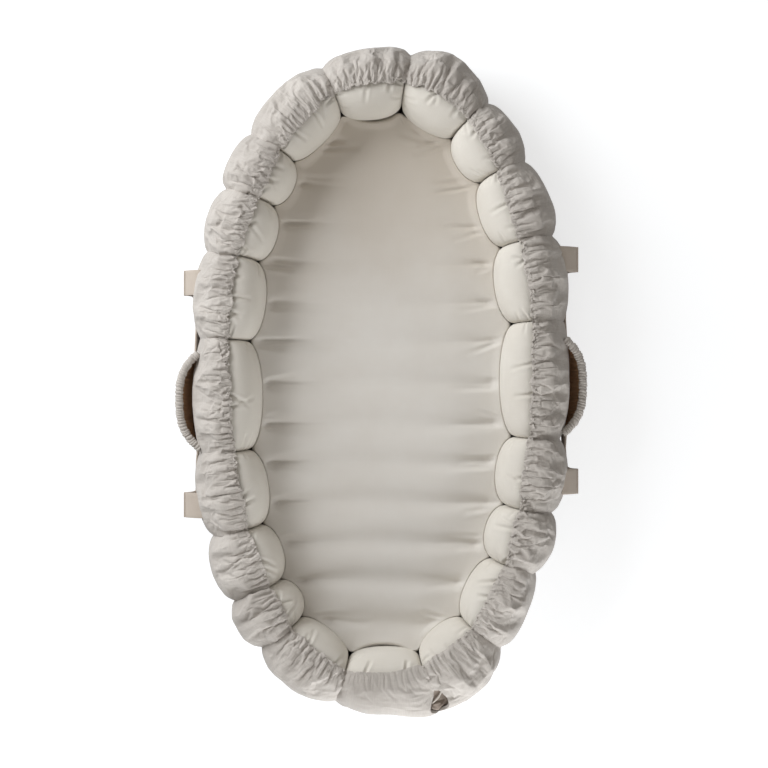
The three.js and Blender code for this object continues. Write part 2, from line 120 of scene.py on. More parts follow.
def running(steps):
    """The length run to each place, from the steps between them."""
    return np.concatenate([[0], np.cumsum(steps)])


def paired(*parts):
    """Arrays that broadcast together, stacked on a last axis."""
    return np.stack(np.broadcast_arrays(*parts), -1)


RING_TURN = np.linspace(0, 2 * pi, RING_SAMPLES + 1)
RING_X = RING_HALF_WIDTH * bent(np.sin(RING_TURN))
RING_Y = RING_HALF_LENGTH * bent(np.cos(RING_TURN))
RING_RUN = running(np.hypot(np.diff(RING_X), np.diff(RING_Y)))
RING_LENGTH = RING_RUN[-1]
SEAMS = FIRST_SEAM_SHARE + running(CHAMBER_SHARES) / sum(CHAMBER_SHARES)
FOOT_ANGLE = -asin(((MIDDLE_HEIGHT - UNDERSIDE) / HALF_HEIGHT) ** (SQUARENESS / 2))


def ring_point(share):
    """The ring at shares of its length."""
    run = np.mod(share, 1) * RING_LENGTH
    return np.interp(run, RING_RUN, RING_X), np.interp(run, RING_RUN, RING_Y)


def beside(share, out, height):
    """Points so far outward from the ring and so high."""
    x, y = ring_point(share)
    ax, ay = ring_point(share + SMOOTHING)
    bx, by = ring_point(share - SMOOTHING)
    run = np.hypot(ax - bx, ay - by)
    across = x - (ay - by) / run * out
    along = y + (ax - bx) / run * out
    return paired(across, along, height).astype(float)


def share_at_side(side, y):
    """The ring's shares where a side has the given y."""
    half = RING_SAMPLES // 2
    if side > 0:
        return np.interp(-np.asarray(y), -RING_Y[:half + 1], RING_RUN[:half + 1]) / RING_LENGTH
    return np.interp(y, RING_Y[half:], RING_RUN[half:]) / RING_LENGTH


def part_of_chamber(share):
    """How far along its chamber each share lies, zero to one, and which chamber it is."""
    turned = np.mod(share - SEAMS[0], 1) + SEAMS[0]
    index = np.clip(np.searchsorted(SEAMS, turned, side="right") - 1, 0, len(CHAMBER_SHARES) - 1)
    return (turned - SEAMS[index]) / (SEAMS[index + 1] - SEAMS[index]), index


def ease(value, low, high):
    """Zero up to low, one from high on, and a smooth climb between."""
    part = np.clip((value - low) / (high - low), 0, 1)
    return part * part * (3 - 2 * part)


def bell(value, width):
    """One at zero, and falling away to both sides."""
    return np.exp(-(value / width) ** 2)


# Meshes and modifiers

def grid_piece(name, points, uv=None, round_along=False, round_up=False, ends=False):
    """A grid of points as a smooth mesh. Its front is where the first index runs right and the second up.

    With ends, the two open ends of a tube are each closed to a point in their middle.
    """
    along, up = points.shape[:2]
    i, j = np.meshgrid(
        np.arange(along if round_along else along - 1),
        np.arange(up if round_up else up - 1),
        indexing="ij",
    )
    k = i + 1
    m = j + 1
    corners = [(i, j), (k, j), (k, m), (i, m)]
    faces = np.stack([(a % along) * up + b % up for a, b in corners], -1).reshape(-1, 4).tolist()
    places = points.reshape(-1, 3).tolist()
    flat = [np.stack([uv[a, b] for a, b in corners], 2).reshape(-1, 2)] if uv is not None else []
    numbers = np.arange(along * up).reshape(along, up)
    for last in (False, True) if ends else ():
        edge = -1 if last else 0
        ring = numbers[edge] if round_up else numbers[:, edge]
        cloth = uv[edge, :up] if round_up else uv[:along, edge]
        if last == round_up:
            ring, cloth = ring[::-1], cloth[::-1]
        turned = np.roll(ring, -1)
        faces += [[int(a), int(b), len(places)] for a, b in zip(ring, turned)]
        flat.append(np.stack([cloth, np.roll(cloth, -1, 0), cloth], 1).reshape(-1, 2))
        places.append(points.reshape(-1, 3)[ring].mean(0).tolist())
    mesh = bpy.data.meshes.new(name)
    mesh.from_pydata(places, [], faces)
    if uv is not None:
        layer = mesh.uv_layers.new(name="Weave")
        layer.data.foreach_set("uv", np.concatenate(flat).astype(np.float32).ravel())
    mesh.polygons.foreach_set("use_smooth", np.ones(len(mesh.polygons), bool))
    mesh.update()
    piece = bpy.data.objects.new(name, mesh)
    bpy.context.scene.collection.objects.link(piece)
    return piece


def only(piece):
    bpy.ops.object.select_all(action="DESELECT")
    piece.select_set(True)
    bpy.context.view_layer.objects.active = piece


def configured(thing, **settings):
    """Gives something of Blender's its settings by name."""
    for key, value in settings.items():
        setattr(thing, key, value)
    return thing


def apply_modifiers(piece):
    only(piece)
    for modifier in list(piece.modifiers):
        bpy.ops.object.modifier_apply(modifier=modifier.name)
    return piece


def modified(piece, kind, **settings):
    """Adds a modifier and applies it at once."""
    configured(piece.modifiers.new(kind, kind), **settings)
    return apply_modifiers(piece)


def subdivided(piece):
    return modified(piece, "SUBSURF", levels=1, render_levels=1, use_limit_surface=False)


def thickened(piece, thickness, offset=-1.0):
    return modified(piece, "SOLIDIFY", thickness=thickness, offset=offset)


def positions(piece):
    found = np.zeros(len(piece.data.vertices) * 3, np.float32)
    piece.data.vertices.foreach_get("co", found)
    return found.reshape(-1, 3).astype(float)


def normals_of(points, round_along=False):
    """Unit normals of a grid of points, on its front."""
    if round_along:
        along = np.roll(points, -1, 0) - np.roll(points, 1, 0)
    else:
        along = np.gradient(points, axis=0)
    across = np.cross(along, np.gradient(points, axis=1))
    return across / np.maximum(np.linalg.norm(across, axis=-1, keepdims=True), 1e-12)


# Materials

def plug(target, sockets):
    """Gives a node's sockets their values, or links where another node's output is given."""
    for key, value in sockets.items():
        if isinstance(value, bpy.types.NodeSocket):
            target.id_data.links.new(value, target.inputs[key])
        else:
            target.inputs[key].default_value = value


def node(tree, kind, sockets, output=0, **settings):
    """The output of a new node."""
    made = configured(tree.nodes.new("ShaderNode" + kind), **settings)
    plug(made, sockets)
    return made.outputs[output]


class Value:
    """A number that changes over a material's surface. Sums and products add Math nodes."""

    def __init__(self, socket):
        self.socket = socket

    def combined(self, operation, other=0.0):
        sockets = {0: self.socket, 1: getattr(other, "socket", other)}
        return Value(node(self.socket.id_data, "Math", sockets, operation=operation))

    def __add__(self, other):
        return self.combined("ADD", other)

    def __mul__(self, other):
        return self.combined("MULTIPLY", other)

    def __sub__(self, other):
        return self.combined("SUBTRACT", other)

    def wave(self, pitch):
        """A sine of this length in metres, repeated at a pitch."""
        return (self * (2 * pi / pitch)).combined("SINE")

    def clear(self, low, high):
        """Zero below low, one above high, and a smooth climb between."""
        tree, sockets = self.socket.id_data, {0: self.socket, 1: low, 2: high}
        return Value(node(tree, "MapRange", sockets, interpolation_type="SMOOTHSTEP"))


def linear(colour):
    """A screen colour, 0 to 255, as Blender's linear colour."""
    shares = [value / 255 for value in colour]
    found = [s / 12.92 if s <= 0.04045 else ((s + 0.055) / 1.055) ** 2.4 for s in shares]
    return (*found, 1.0)


SLUBS = [(1 / 0.0011, 1 / 0.022, 1.0), (1 / 0.026, 1 / 0.0009, 1.0)]
TONE_DRIFT = {"Scale": 14.0, "Detail": 3.0, "Roughness": 0.6}
CLOTH_SHADER = {"Specular IOR Level": 0.25, "Sheen Roughness": 0.6}
# Painted shade on the quilt: darker and warmer toward the head, where the head bolster casts its shadow
HEAD_SHADE_FROM, HEAD_SHADE_TO = 0.02, 0.32
HEAD_SHADE_TONE = 0.46
HEAD_SHADE_CONTRAST = 0.35


def woven(name, low, high, yarn, slub, roughness, sheen, bump=0.00022, head_shade=0.0):
    """Plain-woven cotton: yarns at a pitch, thicker slubs along both of them, and a slow drift of tone.

    The last argument paints shade: the cloth darkens by that much toward its low colour at the head, where
    the head's bolster shades the floor.
    """
    material = bpy.data.materials.new(name)
    material.use_nodes = True
    tree = material.node_tree
    cloth = node(tree, "UVMap", {}, uv_map="Weave")
    place = node(tree, "TexCoord", {}, output="Object")
    along, up, _ = [Value(part) for part in node(tree, "SeparateXYZ", {0: cloth}).node.outputs]
    weave = along.wave(yarn) * up.wave(yarn)
    ways = [node(tree, "VectorMath", {0: cloth, 1: scale}, operation="MULTIPLY") for scale in SLUBS]
    warp, weft = [Value(node(tree, "TexNoise", {"Vector": way, "Scale": 1.0})) for way in ways]
    slubs = (warp + weft) * 0.5
    drift = Value(node(tree, "TexNoise", {"Vector": place, **TONE_DRIFT}))
    tone = (slubs - 0.5) * slub + drift * 0.9 + weave * 0.05
    # Painted shade: the colour falls toward its low end toward the head
    if head_shade:
        toward_head = Value(node(tree, "SeparateXYZ", {0: place}, output=1))
        tone = tone * HEAD_SHADE_CONTRAST + HEAD_SHADE_TONE - toward_head.clear(HEAD_SHADE_FROM, HEAD_SHADE_TO) * head_shade
    colours = {0: tone.clear(0.0, 1.0).socket, 6: linear(low), 7: linear(high)}
    relief = {"Height": (weave * 0.25 + slubs * 0.9).socket, "Distance": bump, "Strength": 1.0}
    plug(tree.nodes["Principled BSDF"], {
        "Base Color": node(tree, "Mix", colours, output=2, data_type="RGBA"),
        "Normal": node(tree, "Bump", relief),
        "Roughness": roughness,
        "Sheen Weight": sheen,
        **CLOTH_SHADER,
    })
    return material


def finished(piece, material, body="nest", nodes=()):
    """Gives a piece its material and body, and hides the nodes it stands for."""
    piece.data.materials.clear()
    piece.data.materials.append(material)
    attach(piece, body)
    if nodes:
        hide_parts(*nodes)
    return piece


COVER_COTTON = woven("Cover cotton", (185, 179, 173), (219, 214, 208), 0.0007, 0.8, 0.95, 0.1)
NEST_COTTON = woven("Nest cotton", (220, 215, 206), (236, 233, 226), 0.0004, 0.3, 0.9, 0.1, 0.0001)
# The quilt's colour carries painted shade toward the head
QUILT_COTTON = woven("Quilt cotton", (208, 200, 189), (234, 232, 228), 0.0004, 0.3, 0.9, 0.1, 0.0001, 0.5)
# The slit facing's dark grey-brown is painted shade for the hollow inside the slit
SLIT_SHADE_CLOTH = woven("Slit painted shade", (146, 134, 124), (168, 156, 146), 0.0007, 0.6, 1.0, 0.0)
# The pocket's brown is painted shade for its deep inside
POCKET_SHADE_SHEET = woven("Pocket painted shade", (184, 144, 110), (202, 163, 129), 0.0007, 0.6, 1.0, 0.0)


# Camera, light and backdrop

CAMERA_PLACE = (0.0038, -0.0013, 2.3)
FILM_WIDTH = 36
VIEW_DISTANCE = 2.245
VIEW_WIDTH = 0.98
LAMPS = [("Window", (-1.32, 0.94, 0.98), 1.1, 28), ("Fill", (0.32, -1.25, 0.3), 0.6, 10.0)]
LAMP_COLOUR = (0.975, 0.988, 1.0)
LIT_PLACE = (0.0, 0.0, 0.05)
ROOM_COLOUR = (1.0, 0.955, 0.9, 1)
ROOM_LIGHT = 0.34
FLOOR_SIZE = 12
FLOOR_HEIGHT = -0.0005
PAPER_COLOUR = (0.6, 0.62, 0.645, 1)
PAPER_GLOW = 0.62


def set_camera(scene):
    """The camera straight above, as in the photo."""
    camera = bpy.data.objects.new("Camera", bpy.data.cameras.new("Camera"))
    scene.collection.objects.link(camera)
    camera.location = CAMERA_PLACE
    lens = FILM_WIDTH * VIEW_DISTANCE / VIEW_WIDTH
    configured(camera.data, sensor_width=FILM_WIDTH, lens=lens, clip_start=0.05)
    scene.camera = camera
    scene.view_settings.view_transform = "Standard"


def set_lamps(scene):
    """A large window light from the left and a weak one from the foot, in metres and watts."""
    for name, place, size, energy in LAMPS:
        lamp = bpy.data.objects.new(name, bpy.data.lights.new(name, "AREA"))
        configured(lamp.data, size=size, energy=energy, color=LAMP_COLOUR)
        scene.collection.objects.link(lamp)
        lamp.location = place
        lamp.rotation_euler = (Vector(LIT_PLACE) - lamp.location).to_track_quat("-Z", "Y").to_euler()


def mixed_by_rays(tree, plain, shown):
    """One shader where camera, mirrors and glass show the backdrop, and a plain one for other rays."""
    rays = tree.nodes.new("ShaderNodeLightPath").outputs
    found = rays["Is Camera Ray"]
    for name in ("Is Glossy Ray", "Is Transmission Ray"):
        found = node(tree, "Math", {0: found, 1: rays[name]}, operation="MAXIMUM")
    return node(tree, "MixShader", {0: found, 1: plain, 2: shown})


def set_world(scene):
    """A warm room that lights the part, and white where the backdrop shows."""
    world = bpy.data.worlds.new("Room")
    scene.world = world
    world.use_nodes = True
    tree = world.node_tree
    room = node(tree, "Background", {"Color": ROOM_COLOUR, "Strength": ROOM_LIGHT})
    seen = node(tree, "Background", {"Color": (1, 1, 1, 1)})
    plug(tree.nodes["World Output"], {"Surface": mixed_by_rays(tree, room, seen)})


def set_floor():
    """White paper that keeps the shadow: it glows only where it is seen."""
    bpy.ops.mesh.primitive_plane_add(size=FLOOR_SIZE, location=(0, 0, FLOOR_HEIGHT))
    floor = bpy.context.object
    floor.name = "Floor"
    paper = bpy.data.materials.new("Paper")
    paper.use_nodes = True
    tree = paper.node_tree
    matte = tree.nodes["Principled BSDF"]
    plug(matte, {"Base Color": PAPER_COLOUR, "Roughness": 1, "Specular IOR Level": 0})
    dark, glow = [node(tree, "Emission", {"Strength": strength}) for strength in (0, PAPER_GLOW)]
    both = node(tree, "AddShader", {0: matte.outputs[0], 1: mixed_by_rays(tree, dark, glow)})
    plug(tree.nodes["Material Output"], {"Surface": both})
    floor.data.materials.append(paper)


# The bolster: twenty stuffed chambers

LEAST_COLUMNS = 12


def chamber_columns(pitch):
    """Shares of the ring with one on every seam, and the columns that lie on the seams."""
    shares, seams = [], [0]
    for start, end in zip(SEAMS[:-1], SEAMS[1:]):
        steps = max(LEAST_COLUMNS, round((end - start) * RING_LENGTH / pitch))
        shares.extend(start + (end - start) * np.arange(steps) / steps)
        seams.append(len(shares))
    return np.array(shares), seams


SEAM_REACH = [0, 9, 1, -2, 6, 0, 0, 2, -7, 1, 12, -4, 3, 5, 3, 0, -2, 2, 4, -1]
MIDDLE_REACH = [-2, 9, -4, 0, 0, 0, 0, -1, -7, 10, -3, 1, 2, 3, 0, 0, 0, 0, -4, -1]
INNER_PINCH = 0.53
OUTER_PINCH = 0.36
TOP_PINCH = 0.25
UNDER_PINCH = 0.3
SLIT_FULLNESS = 0.68
LONG_CHAMBERS = [5, 15]
LONG_TUCK = 0.15
WALL_TOP_ANGLE = radians(60)


def chamber_swell(part, pinch):
    """How full a chamber is along its length: round ends and a full middle."""
    return 1 - pinch + pinch * np.sqrt(np.maximum(1 - np.abs(2 * part - 1) ** 2.1, 0))


def pinched(part, index):
    """How much of the outer pinch a seam keeps: all, but little behind the slit."""
    before = (index == SLIT_SEAM - 1) * ease(part, 0.2, 0.9)
    after = (index == SLIT_SEAM) * (1 - ease(part, 0.1, 0.8))
    return 1 - SLIT_FULLNESS * (before + after)


def outer_reach(part, index):
    """How far out the wall stands, as a share of its distance in the plain form.

    The stuffing is uneven, in millimetres at each chamber's first seam and middle. The long chambers behind
    the pockets are drawn in a little too.
    """
    first = np.array(SEAM_REACH)[index]
    middle = np.array(MIDDLE_REACH)[index]
    last = np.roll(SEAM_REACH, -1)[index]
    own = first + (middle - first) * ease(part, 0, 0.5) + (last - middle) * ease(part, 0.5, 1)
    tuck = LONG_TUCK * np.isin(index, LONG_CHAMBERS) * np.sqrt(np.maximum(np.sin(pi * part), 0))
    return 1 + own / 1000 / HALF_WIDTH - tuck


def wall_part(angle):
    """How much a height on the outer wall follows the chambers: not at the foot, fully near the top."""
    climb = np.clip((angle - FOOT_ANGLE) / (WALL_TOP_ANGLE - FOOT_ANGLE), 0, 1)
    return np.sqrt(np.sin(pi / 2 * climb))


def bolster_points(shares, angles):
    """The bolster's surface, at shares of the ring and angles from straight out and up."""
    part, index = part_of_chamber(shares)
    part, index = part[:, None], index[:, None]
    across = bent(np.cos(angles))[None, :]
    rise = bent(np.sin(angles))[None, :]
    wall = wall_part(np.mod(angles + pi, 2 * pi) - pi)[None, :]
    outer = chamber_swell(part, OUTER_PINCH * pinched(part, index))
    outer = outer * (1 + (outer_reach(part, index) - 1) * wall)
    out = HALF_WIDTH * across * np.where(across > 0, outer, chamber_swell(part, INNER_PINCH))
    tall = np.where(rise > 0, chamber_swell(part, TOP_PINCH), chamber_swell(part, UNDER_PINCH))
    up = HALF_HEIGHT * rise * tall
    return beside(shares[:, None], out, np.maximum(MIDDLE_HEIGHT + up, UNDERSIDE))


LIP_HEIGHT = 0.4
LIP_PLACE = 1.9
LIP_WIDTH = 0.9


def crease_depth(along, girth, creases):
    """Folds pressed into a stuffed piece: lines with a depth and a width, which fade to their far ends."""
    depth = np.zeros(np.broadcast(along, girth).shape)
    for start, end, deep, wide in creases:
        run = (end[0] - start[0], end[1] - start[1])
        square = run[0] ** 2 + run[1] ** 2
        part = np.clip(((along - start[0]) * run[0] + (girth - start[1]) * run[1]) / square, 0, 1)
        off = np.hypot(along - start[0] - part * run[0], girth - start[1] - part * run[1])
        width = wide * (0.7 + 0.6 * part)
        lips = LIP_HEIGHT * bell(off / width - LIP_PLACE, LIP_WIDTH)
        depth += deep * (lips - bell(off, width)) * (1 - part) ** 0.6
    return depth


HEM_SHIFT = [2, 8, 2, -1, 5, 0, -2, -5, -10, -6, -12, -11, -9, -6, -4, 0, 6, 0, -8, -6]
HEM_SMOOTHING = 0.012


def hem_shift(shares):
    """How far out the hem lies from its plain line inside the crest, in metres."""
    middles = 0.5 * (SEAMS[:-1] + SEAMS[1:])
    steps = (-HEM_SMOOTHING, 0, HEM_SMOOTHING)
    return sum(np.interp(shares + step, middles, np.array(HEM_SHIFT) / 1000, period=1) for step in steps) / 3


FOLD_COUNTS = (2, 5)
FOLD_WIDTH = 0.0023
HEM_FOLD_REACH = (0.018, 0.044)
HEM_FOLD_DEPTH = (0.0022, 0.005)
PINCH_FOLD_GIRTH = (-0.01, 0.075)
PINCH_FOLD_REACH = (0.01, 0.024)
PINCH_FOLD_DEPTH = (0.0014, 0.0032)


def chamber_creases(length, hem, rng):
    """Short folds from the hem and from both pinches, along the chamber and down its face."""
    creases = []
    for _ in range(rng.integers(*FOLD_COUNTS)):
        along = rng.uniform(0.15, 0.85) * length
        reach = rng.uniform(*HEM_FOLD_REACH)
        lean = rng.normal(0, 0.5) * reach
        end = (along + lean, hem + reach)
        creases.append(((along, hem), end, rng.uniform(*HEM_FOLD_DEPTH), FOLD_WIDTH))
    for side in (0, 1):
        for _ in range(rng.integers(*FOLD_COUNTS)):
            girth = rng.uniform(*PINCH_FOLD_GIRTH)
            reach = rng.uniform(*PINCH_FOLD_REACH) * (1 if side == 0 else -1)
            end = (side * length + reach, girth + rng.normal(0, 0.006))
            creases.append(((side * length, girth), end, rng.uniform(*PINCH_FOLD_DEPTH), FOLD_WIDTH))
    return creases


CHAMBER_PITCH = 0.0024
INNER_FOOT_ANGLE = radians(215)
FINE_ROWS = 52
COARSE_ROWS = 34
HEM_GROOVE = 0.0022
HEM_GROOVE_WIDTH = 0.01
HOLLOW_DEPTH = 0.018
HOLLOW_WIDTH = 0.018
HOLLOW_GIRTH = -0.034
HOLLOW_REACH = 0.026


def make_bolster():
    """The chambers, with the groove of the hem, folds, and the hollow behind the slit."""
    shares, seams = chamber_columns(CHAMBER_PITCH)
    fine = np.linspace(WALL_TOP_ANGLE, INNER_FOOT_ANGLE, FINE_ROWS, endpoint=False)
    coarse = np.linspace(INNER_FOOT_ANGLE, WALL_TOP_ANGLE + 2 * pi, COARSE_ROWS, endpoint=False)
    angles = np.concatenate([fine, coarse])[::-1]
    points = bolster_points(shares, angles)
    section = bolster_points(np.array([0.5 * (SEAMS[6] + SEAMS[7])]), angles)[0]
    steps = np.linalg.norm(np.diff(section, axis=0), axis=1)
    girth = running(steps)
    girth = np.interp(pi / 2, angles[::-1], girth[::-1]) - girth
    whole = steps.sum() + np.linalg.norm(section[0] - section[-1])
    outer = np.where(girth > 0.5 * whole, girth - whole, girth)[None, :]
    closed = np.concatenate([points[:, -1:], points, points[:, :1]], 1)
    outward = normals_of(closed, True)[:, 1:-1]
    rng = np.random.default_rng(11)
    for index in range(len(CHAMBER_SHARES)):
        span = np.arange(seams[index], seams[index + 1] + 1) % len(shares)
        length = (SEAMS[index + 1] - SEAMS[index]) * RING_LENGTH
        along = np.linspace(0, length, len(span))[:, None]
        shift = hem_shift(shares[span])[:, None]
        creases = chamber_creases(length, 0.002 - shift.mean(), rng)
        groove = HEM_GROOVE * bell(girth[None, :] + shift - 0.001, HEM_GROOVE_WIDTH)
        depth = crease_depth(along, girth[None, :], creases) - groove
        slit = ((SLIT_SHARE - SEAMS[index]) * RING_LENGTH - along) / HOLLOW_WIDTH
        hollow = HOLLOW_DEPTH * np.exp(-slit ** 2 - ((outer - HOLLOW_GIRTH) / HOLLOW_REACH) ** 2)
        ends = ease(np.minimum(along, length - along), 0, 0.004)
        shape = points[span] + outward[span] * (depth * ends - hollow)[..., None]
        shape[..., 2] = np.maximum(shape[..., 2], UNDERSIDE)
        uv = paired(along, np.append(girth, girth[-1] - 0.004)[None, :])
        number = f"{index + 1:02d}"
        piece = grid_piece(f"stuffed_chamber_{number}", shape, uv, round_up=True, ends=True)
        subdivided(piece)
        finished(piece, NEST_COTTON, nodes=[f"bolster_chamber_{number}"])


# The floor of the nest

FLOOR_SAMPLES = 900
QUILT_REACH = 0.016
QUILT_TUCK = 0.0027
QUILT_BLEND = 0.03
QUILT_SIZE = (260, 100)
QUILT_EDGE_SHARE = 0.97
CHANNELS_EACH_WAY = 6
STITCH_DEPTH = 0.0022
STITCH_WIDTH = 0.0022
PUCKERS_EACH_SIDE = 3
PUCKER_SPREAD = 0.006
PUCKER_REACH = (0.02, 0.065)
PUCKER_DEPTH = (0.001, 0.0024)
PUCKER_WIDTH = 0.0028
PAD_MIDDLE = -0.1


def floor_half_width(y):
    edge = beside(np.linspace(0, 0.5, FLOOR_SAMPLES), FLOOR_OUT, 0.0)
    return np.interp(-np.asarray(y), -edge[:, 1], edge[:, 0])


def out_to_chambers(points):
    """Draws the quilt's edge out into the pinches between the chambers."""
    flat = points[..., :2].reshape(-1, 2)
    shares = np.arange(FLOOR_SAMPLES) / FLOOR_SAMPLES
    ring = paired(*ring_point(shares))
    nearest = np.concatenate([
        np.argmin(((block[:, None] - ring[None]) ** 2).sum(-1), 1) for block in np.array_split(flat, 40)
    ])
    inward = flat - ring[nearest]
    away = np.linalg.norm(inward, axis=1, keepdims=True)
    inside = np.clip(1 - (away + FLOOR_OUT) / QUILT_BLEND, 0, 1)
    part, _ = part_of_chamber(shares)
    room = HALF_WIDTH * (1 - chamber_swell(part, INNER_PINCH))
    lift = np.minimum(room, QUILT_REACH)[nearest][:, None] + QUILT_TUCK
    moved = flat - inward / away * lift * inside ** 2
    points[..., :2] = moved.reshape(*points.shape[:2], 2)


def make_quilt():
    """Soft furrows from side to side, deeper to the foot and puckered at both edges."""
    half = RING_HALF_LENGTH + FLOOR_OUT - 0.0012
    rows = np.linspace(-half, half, QUILT_SIZE[0])
    turn = np.linspace(-1, 1, QUILT_SIZE[1]) * pi / 2 * QUILT_EDGE_SHARE
    width_shares = np.sin(turn) / sin(turn[-1])
    width = floor_half_width(rows)
    x = width[:, None] * width_shares[None, :]
    y = np.broadcast_to(rows[:, None], x.shape)
    edge = np.minimum((1 - np.abs(width_shares))[None, :] * width[:, None], (half - np.abs(rows))[:, None])
    rng = np.random.default_rng(21)
    across = np.abs(width_shares)[None, :]
    toward_foot = ease(-rows, -0.3, 0.16)[:, None]
    depth = np.zeros(x.shape)
    for k in range(-CHANNELS_EACH_WAY, CHANNELS_EACH_WAY + 1):
        bend = 0.0018 * np.sin(x * rng.uniform(18, 34) + rng.uniform(0, 6)) + rng.normal(0, 0.001)
        off = y - k * CHANNEL_PITCH - bend
        wide = 0.005 + 0.009 * (1 - across ** 2)
        edges = np.where(x > 0, 0.3, 0.65) * across ** 2
        deep = (0.003 + 0.0036 * toward_foot) * (0.25 + edges + 0.45 * toward_foot)
        depth -= deep * bell(off, wide)
        depth -= STITCH_DEPTH * across ** 3 * bell(off, STITCH_WIDTH)
        for side in (-1, 1):
            for _ in range(PUCKERS_EACH_SIDE):
                y0 = k * CHANNEL_PITCH + rng.normal(0, PUCKER_SPREAD)
                at = np.interp(y0, rows, width) * side
                reach = rng.uniform(*PUCKER_REACH) * -side
                start = (at - side * 0.004, y0)
                end = (at + reach, y0 + rng.normal(0, PUCKER_SPREAD))
                depth += crease_depth(x, y, [(start, end, rng.uniform(*PUCKER_DEPTH), PUCKER_WIDTH)])
    roll = 0.0011 * np.sin(x * 17 + 1.0) * np.sin(y * 12 + 2.0) + 0.0008 * np.sin(x * 31 + y * 23)
    crown = ease(edge, -0.002, 0.06)
    rim = np.sqrt(np.clip(1 - (1 - np.clip(edge / 0.0018, 0, 1)) ** 2, 0, 1))
    sunk = 0.006 * ease(rows, 0.08, 0.3)[:, None]
    height = 0.0012 + 0.0084 * rim + (0.0042 * crown + depth + roll - sunk) * ease(edge, 0, 0.012)
    top = paired(x, y, QUILT_UNDERSIDE + height)
    out_to_chambers(top)
    below = top[:, ::-9].copy()
    below[..., 2] = QUILT_UNDERSIDE
    loops = np.concatenate([top, below], 1)
    uv = np.concatenate([loops, loops[:, :1]], 1)[..., :2]
    piece = subdivided(grid_piece("quilted_floor", loops, uv, round_up=True, ends=True))
    finished(piece, QUILT_COTTON, nodes=["floor_quilt"])


def stacked_rings(name, profile):
    """A closed pad along the ring, from pairs of distance out and height, underside first."""
    columns = 360
    shares = -np.arange(columns) / columns
    out, height = np.array(profile).T
    points = beside(shares[:, None], out[None, :], height[None, :])
    along = np.arange(columns + 1)[:, None] / columns * RING_LENGTH
    uv = paired(along, out[None, :] + height[None, :])
    return grid_piece(name, points, uv, round_along=True, ends=True)


def make_floor_pads():
    """The foam pad, and the bottom panel of the cover with its turned edge."""
    low, high = UNDERSIDE, UNDERSIDE + CORE_THICKNESS
    profile = [(PAD_MIDDLE, low), (-0.046, low), (FLOOR_OUT, low + 0.003), (FLOOR_OUT, high - 0.003)]
    profile += [(-0.046, high), (PAD_MIDDLE, high)]
    core = stacked_rings("foam_core", profile)
    finished(core, FOAM, nodes=["mattress_core"])
    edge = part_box("cover_base")[1][0] - RING_HALF_WIDTH
    profile = [(PAD_MIDDLE, 0.0), (edge - 0.004, 0.0), (edge, 0.0006), (edge, 0.0016)]
    profile += [(edge - 0.003, 0.002), (edge - 0.006, 0.0014), (PAD_MIDDLE, 0.0014)]
    base = stacked_rings("base_panel", profile)
    finished(base, COVER_COTTON, nodes=["cover_base"])


# The cover

COVER_GAP = 0.002
EDGE_ANGLE = radians(98)
ELASTIC_AT = 0.007
STITCHED_AT = 0.012
CALM_CHAMBER = 10
GROWN = ([0, 0.013, 0.02, 0.03, 0.044, 0.065], [1, 1, 0.5, 0.2, 0.08, 0])
GATHER = 0.45
SECTION_SAMPLES = 900
SECTION_END = radians(118)
FINE_ROWS_TO = 0.05
FINE_ROW_PITCH = 0.0017
COARSE_COVER_ROWS = 20
CLOTH = dict(
    quality=4, mass=0.01, tension_stiffness=15, compression_stiffness=15, shear_stiffness=4,
    bending_stiffness=0.006, bending_stiffness_max=0.6, pin_stiffness=1,
    shrink_min=-GATHER, shrink_max=0, use_pressure=True, uniform_pressure_force=-1.5,
)
CLOTH_FRAMES = 16
STIFFER_FROM = 0.016
STIFFER_OVER = 0.03


def cover_path(shares, own_down=None):
    """Distances down the cover from its free edge, and the section's place and angle there."""
    angles = np.linspace(FOOT_ANGLE, SECTION_END, SECTION_SAMPLES)
    out = (HALF_WIDTH + COVER_GAP) * bent(np.cos(angles))
    up = (HALF_HEIGHT + COVER_GAP) * bent(np.sin(angles))
    run = running(np.hypot(np.diff(out), np.diff(up)))
    whole = np.interp(EDGE_ANGLE, angles, run)
    fine = np.arange(0, FINE_ROWS_TO, FINE_ROW_PITCH)
    coarse = np.linspace(fine[-1] + 2 * FINE_ROW_PITCH, whole, COARSE_COVER_ROWS)
    down = np.concatenate([fine, coarse]) if own_down is None else own_down
    back = whole - down[None, :] - hem_shift(shares)[:, None] * (1 - down[None, :] / whole)
    return down, np.interp(back, run, out), np.interp(back, run, up), np.interp(back, run, angles)


def group_of(piece, name, rows, columns, weights):
    """A vertex group with one weight for each row of a grid."""
    group = piece.vertex_groups.new(name=name)
    numbers = np.arange(rows * columns).reshape(columns, rows)
    for row, weight in enumerate(weights):
        if weight > 0.003:
            group.add(numbers[:, row].tolist(), float(weight), "REPLACE")
    return name


